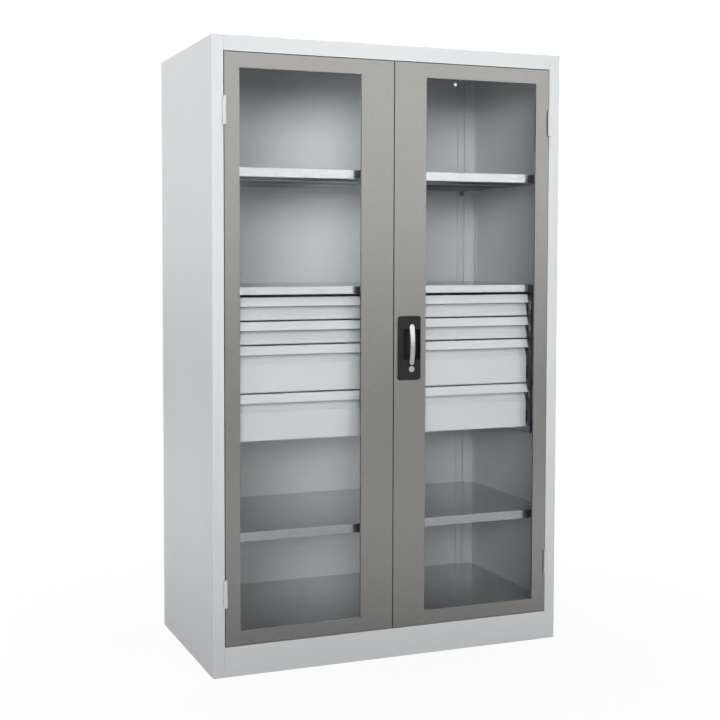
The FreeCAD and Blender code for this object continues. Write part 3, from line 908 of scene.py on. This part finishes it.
@dataclass
class Drawer:
    """One drawer, with the rivets that hold its box to the inner rails."""

    number: int
    rivet_radius: float = 0.0035
    rivet_height: float = 0.0012
    rivet_margin: float = 0.06
    rivet_count: int = 3
    sheet: float = 0.0015

    def build(self, paints: Paintbox) -> List[bpy.types.Object]:
        """Make the rivets inside the box.

        Args:
            paints: The finishes.

        Returns:
            The new pieces.
        """
        low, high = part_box(f"drawer_box_{self.number}")
        rails_low, rails_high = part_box(f"rails_inner_{self.number}")
        tree = FastenerTree(Head(self.rivet_radius, self.rivet_height))
        finish = paints.materials[Slot.ZINC]
        height = (rails_low.z + rails_high.z) / 2
        middle = (low.y + high.y) / 2
        span = (0, high.y - low.y - 2 * self.rivet_margin, 0)
        counts = (1, self.rivet_count, 1)
        meshes = []
        for side in Side:
            inward = Facing.TO_LEFT if side is Side.RIGHT else Facing.TO_RIGHT
            wall = side.value * (high.x - self.sheet)
            meshes.append(tree.mesh(Pattern((wall, middle, height), span, counts, inward), finish))
        piece = joined(f"drawer_{self.number}_rivets", meshes)
        return [paints.settle(piece, Slot.ZINC, f"drawer_{self.number}")]


@dataclass
class WindowDoor:
    """One door leaf, with the screws of its pane frame and the caps of its hinges."""

    side: Side
    screw_radius: float = 0.003
    screw_height: float = 0.0014
    screw_recess: float = 0.0008
    screw_sides: int = 12
    screw_inset: float = 0.0045
    along_height: int = 8
    along_width: int = 2
    cap_radius: float = 0.0053
    cap_height: float = 0.0009
    cap_sides: int = 24

    def build(self, paints: Paintbox) -> List[bpy.types.Object]:
        """Make the frame screws and the hinge caps.

        Args:
            paints: The finishes.

        Returns:
            The new pieces.
        """
        return [self.frame_screws(paints), self.hinge_caps(paints)]

    def frame_screws(self, paints: Paintbox) -> bpy.types.Object:
        """Screws around the frame that holds the pane."""
        low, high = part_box(f"pane_frame_{self.side.word}")
        head = Head(self.screw_radius, self.screw_height, self.screw_recess, self.screw_sides)
        tree = FastenerTree(head)
        finish = paints.materials[Slot.ZINC]
        inset = self.screw_inset
        width, height = high.x - low.x - 2 * inset, high.z - low.z - 2 * inset
        centre = ((low.x + high.x) / 2, high.y, (low.z + high.z) / 2)
        uprights = Pattern(centre, (width, 0, height), (2, 1, self.along_height), Facing.BACK)
        share = (self.along_width - 1) / (self.along_width + 1)
        rails = Pattern(centre, (width * share, 0, height), (self.along_width, 1, 2), Facing.BACK)
        meshes = [tree.mesh(pattern, finish) for pattern in (uprights, rails)]
        piece = joined(f"pane_screws_{self.side.word}", meshes)
        return paints.settle(piece, Slot.ZINC, f"door_{self.side.word}")

    def hinge_caps(self, paints: Paintbox) -> bpy.types.Object:
        """Low caps on the upper ends of the hinge barrels."""
        tree = FastenerTree(Head(self.cap_radius, self.cap_height, sides=self.cap_sides))
        finish = paints.materials[Slot.HINGE_PAINT]
        meshes = []
        for centre in hinge_tops(self.side):
            meshes.append(tree.mesh(Pattern(centre, (0, 0, 0), (1, 1, 1), Facing.UP), finish))
        piece = joined(f"hinge_caps_{self.side.word}", meshes)
        return paints.settle(piece, Slot.HINGE_PAINT, f"door_{self.side.word}")


@dataclass
class Bow:
    """Low curved bow of the handle, with rounded ends and its spindle."""

    foot_narrow: float = 0.0008
    end_thickness: float = 0.004
    crest_thickness: float = 0.008
    play: float = 0.0006
    spindle_radius: float = 0.005
    spindle_sides: int = 24
    rings: int = 48
    ring_points: int = 28

    def build(self, paints: Paintbox) -> List[bpy.types.Object]:
        """Make the bow in place of its plain solid.

        Args:
            paints: The finishes.

        Returns:
            The new piece.
        """
        shape = bmesh.new()
        self.sweep(shape)
        bmesh.ops.recalc_face_normals(shape, faces=shape.faces)
        for face in shape.faces:
            face.smooth = True
        self.spindle(shape)
        mesh = bpy.data.meshes.new("bow")
        shape.to_mesh(mesh)
        shape.free()
        mesh.materials.append(paints.materials[Slot.SATIN_SILVER])
        piece = bpy.data.objects.new("bow", mesh)
        bpy.context.scene.collection.objects.link(piece)
        return [paints.settle(piece, Slot.SATIN_SILVER, "handle", ["handle_bow"])]

    def section(self, height: float) -> Tuple[Triple, float, float]:
        """Middle, half width and half thickness of the bow at one height.

        Args:
            height: Height in metres.

        Returns:
            The middle of the section and its two half sizes.
        """
        low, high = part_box("handle_bow")
        seat = edge("handle_plate", 1, False) - self.play
        radius = (high.x - low.x) / 2
        middle = (low.z + high.z) / 2
        arch = (high.z - low.z) / 2 - radius
        lift = max(0.0, 1 - ((height - middle) / arch) ** 2)
        inner = seat + lift * (low.y + self.crest_thickness - seat)
        outer = seat - self.end_thickness + lift * (low.y - seat + self.end_thickness)
        into_end = max(0.0, abs(height - middle) - arch) / radius
        narrow = math.sqrt(max(0.0, 1 - into_end ** 2))
        foot = self.foot_narrow * (high.z - height) / (high.z - low.z)
        centre = ((low.x + high.x) / 2, (inner + outer) / 2, height)
        return centre, (radius - foot) * narrow, (inner - outer) / 2 * narrow ** 0.5

    def sweep(self, shape: bmesh.types.BMesh) -> None:
        """Run a rounded section along the bow and close both ends.

        Args:
            shape: Mesh to add to.
        """
        low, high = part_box("handle_bow")
        middle, half = (low.z + high.z) / 2, (high.z - low.z) / 2
        rings = []
        for step in range(1, self.rings):
            height = middle - half * math.cos(math.pi * step / self.rings)
            centre, wide, deep = self.section(height)
            ring = []
            for index in range(self.ring_points):
                angle = 2 * math.pi * index / self.ring_points
                x = centre[0] + wide * math.cos(angle)
                y = centre[1] + deep * math.sin(angle)
                ring.append(shape.verts.new((x, y, height)))
            rings.append(ring)
        for lower, upper in zip(rings, rings[1:]):
            for index in range(self.ring_points):
                after = (index + 1) % self.ring_points
                shape.faces.new((lower[index], lower[after], upper[after], upper[index]))
        for ring, height in ((rings[0], low.z), (rings[-1], high.z)):
            tip = shape.verts.new(self.section(height)[0])
            for index in range(self.ring_points):
                shape.faces.new((ring[index], ring[(index + 1) % self.ring_points], tip))

    def spindle(self, shape: bmesh.types.BMesh) -> None:
        """Add the spindle behind the upper end.

        Args:
            shape: Mesh to add to.
        """
        joint = next(j for j in frame["joints"] if j["name"] == "handle_turn")
        start = edge("handle_plate", 1, False) - self.play - self.end_thickness / 2
        end = edge("handle_bow", 1, True)
        place = Matrix.Translation((joint["pos_m"][0], (start + end) / 2, joint["pos_m"][2]))
        bmesh.ops.create_cone(
            shape,
            cap_ends=True,
            segments=self.spindle_sides,
            radius1=self.spindle_radius,
            radius2=self.spindle_radius,
            depth=end - start,
            matrix=place @ Matrix.Rotation(QUARTER, 4, "X"),
        )


@dataclass
class Lamp:
    """One soft lamp of the studio."""

    name: str
    place: Triple
    aim: Triple
    size: Pair
    power: float
    fan: float = 180.0

    def build(self) -> None:
        """Hang the lamp; metal shows the white room in its place."""
        light = bpy.data.lights.new(self.name, "AREA")
        light.shape = "RECTANGLE"
        light.size, light.size_y = self.size
        light.energy = self.power
        light.spread = math.radians(self.fan)
        lamp = bpy.data.objects.new(self.name, light)
        lamp.location = self.place
        lamp.visible_camera = lamp.visible_glossy = False
        look = Vector(self.aim) - Vector(self.place)
        lamp.rotation_euler = look.to_track_quat("-Z", "Y").to_euler()
        bpy.context.scene.collection.objects.link(lamp)


@dataclass
class Studio:
    """Pale floor, soft lamps and the camera at the photograph's place."""

    floor_radius: float = 30.0
    floor_sides: int = 96
    floor_colour: float = 0.95
    floor_bounce: float = 0.75
    # Painted shade for metal: the floor that metal sees darkens towards the cabinet.
    mirror_reach: Pair = (0.7, 2.4)
    mirror_tones: Pair = (0.36, 0.95)
    shadow_share: float = 0.08
    shadow_reach: Pair = (0.8, 1.8)
    ambient: float = 0.04
    camera_place: Triple = (-1.6609, -3.8762, 1.291)
    camera_yaw: float = 20.498
    camera_pitch: float = 2.827
    focal_pixels: float = 1242.3
    image_pixels: float = 720.0
    sensor: float = 36.0
    shift: Pair = (0.0843, -0.06)
    lamps: Tuple[Lamp, ...] = (
        Lamp("key", (-2.9, -7.5, 2.6), (0.0, 0.0, 1.75), (3.4, 2.2), 26.8, fan=42.0),
        Lamp("left", (-4.6, 0.4, 3.2), (-0.5, 0.0, 1.0), (2.4, 2.4), 95.0),
        Lamp("right", (2.9, -7.1, 1.6), (0.0, 0.0, 1.75), (3.6, 2.4), 13.2, fan=42.0),
        Lamp("top", (0.0, -1.4, 5.6), (0.0, -0.3, 1.0), (2.6, 1.6), 75.0),
        Lamp("rear", (-0.8, 5.0, 2.8), (0.0, 0.0, 1.0), (2.4, 2.4), 105.0),
        Lamp("rear right", (4.8, 1.6, 3.0), (0.5, 0.0, 1.0), (2.4, 2.4), 110.0),
    )

    def build(self) -> None:
        """Set up the floor, the light and the camera."""
        bpy.context.scene.view_settings.view_transform = "Standard"
        self.lay_floor()
        self.light_room()
        for lamp in self.lamps:
            lamp.build()
        self.place_camera()

    def lay_floor(self) -> None:
        """Lay a round white floor that keeps the cabinet's soft shadow; in metal it shows painted shade, darker
        near the cabinet.
        """
        surface = Surface("studio floor")
        length = surface.add("ShaderNodeVectorMath", {0: surface.place()}, operation="LENGTH")
        distance = length.outputs["Value"]
        share = surface.spread(distance, self.shadow_reach, (self.shadow_share, 0.0))
        paper, bounce = [
            surface.add("ShaderNodeBsdfDiffuse", {"Color": (tone, tone, tone, 1.0)})
            for tone in (self.floor_colour, self.floor_bounce)
        ]
        # Painted shade: the floor's colour in reflections darkens near the cabinet and whitens further out.
        tone = surface.spread(distance, self.mirror_reach, self.mirror_tones)
        reflected_shade = surface.add("ShaderNodeBsdfDiffuse", {"Color": tone})
        glow = surface.add("ShaderNodeEmission", {"Color": WHITE, "Strength": 1.0})
        rays = surface.add("ShaderNodeLightPath", {}).outputs
        direct = surface.math("MAXIMUM", rays["Is Camera Ray"], rays["Is Transmission Ray"])
        shown = surface.blend(share, glow, paper)
        lit = surface.blend(rays["Is Glossy Ray"], bounce, reflected_shade)
        mixed = surface.blend(direct, lit, shown)
        surface.add("ShaderNodeOutputMaterial", {"Surface": mixed.outputs[0]})
        disc = bmesh.new()
        bmesh.ops.create_circle(
            disc, cap_ends=True, segments=self.floor_sides, radius=self.floor_radius
        )
        mesh = bpy.data.meshes.new("studio_floor")
        disc.to_mesh(mesh)
        disc.free()
        mesh.materials.append(surface.material)
        floor = bpy.data.objects.new("studio_floor", mesh)
        bpy.context.scene.collection.objects.link(floor)

    def light_room(self) -> None:
        """Fill the room with even light, and show it white to the eye, glass and metal.

        A shiny face that only passes light on to a dull one sees the even
        light, so that the white room doesn't light the part.
        """
        world = bpy.data.worlds.new("studio")
        world.use_nodes = True
        bpy.context.scene.world = world
        sketch = Sketch(world.node_tree)
        sketch.tree.nodes.clear()
        fill = sketch.add("ShaderNodeBackground", {"Color": WHITE, "Strength": self.ambient})
        back = sketch.add("ShaderNodeBackground", {"Color": WHITE, "Strength": 1.0})
        rays = sketch.add("ShaderNodeLightPath", {}).outputs
        direct = sketch.math("MAXIMUM", rays["Is Camera Ray"], rays["Is Transmission Ray"])
        unscattered = sketch.math("LESS_THAN", rays["Diffuse Depth"], 1.0)
        gloss = sketch.math("MULTIPLY", rays["Is Glossy Ray"], unscattered)
        seen = sketch.math("MAXIMUM", direct, gloss)
        both = sketch.blend(seen, fill, back)
        sketch.add("ShaderNodeOutputWorld", {"Surface": both.outputs[0]})

    def place_camera(self) -> None:
        """Put the camera where the photograph was taken."""
        data = bpy.data.cameras.new("camera")
        data.sensor_width = self.sensor
        data.lens = self.focal_pixels / self.image_pixels * self.sensor
        data.shift_x, data.shift_y = self.shift
        camera = bpy.data.objects.new("camera", data)
        camera.location = self.camera_place
        turn = (90 - self.camera_pitch, 0.0, -self.camera_yaw)
        camera.rotation_euler = [math.radians(angle) for angle in turn]
        bpy.context.scene.collection.objects.link(camera)
        bpy.context.scene.camera = camera


def main() -> None:
    """Coat the frame's nodes, and build the pieces and the studio."""
    logging.basicConfig(level=logging.INFO, format="%(name)s: %(message)s")
    paints = Paintbox()
    for subpart in frame["record"]["subparts"]:
        paints.coat_node(subpart["node"], Slot(subpart["material_slot"]))
    Carcass().build(paints)
    for number in DRAWERS:
        Drawer(number).build(paints)
    for side in Side:
        WindowDoor(side).build(paints)
    Bow().build(paints)
    Studio().build()


if __name__ == "__main__":
    main()
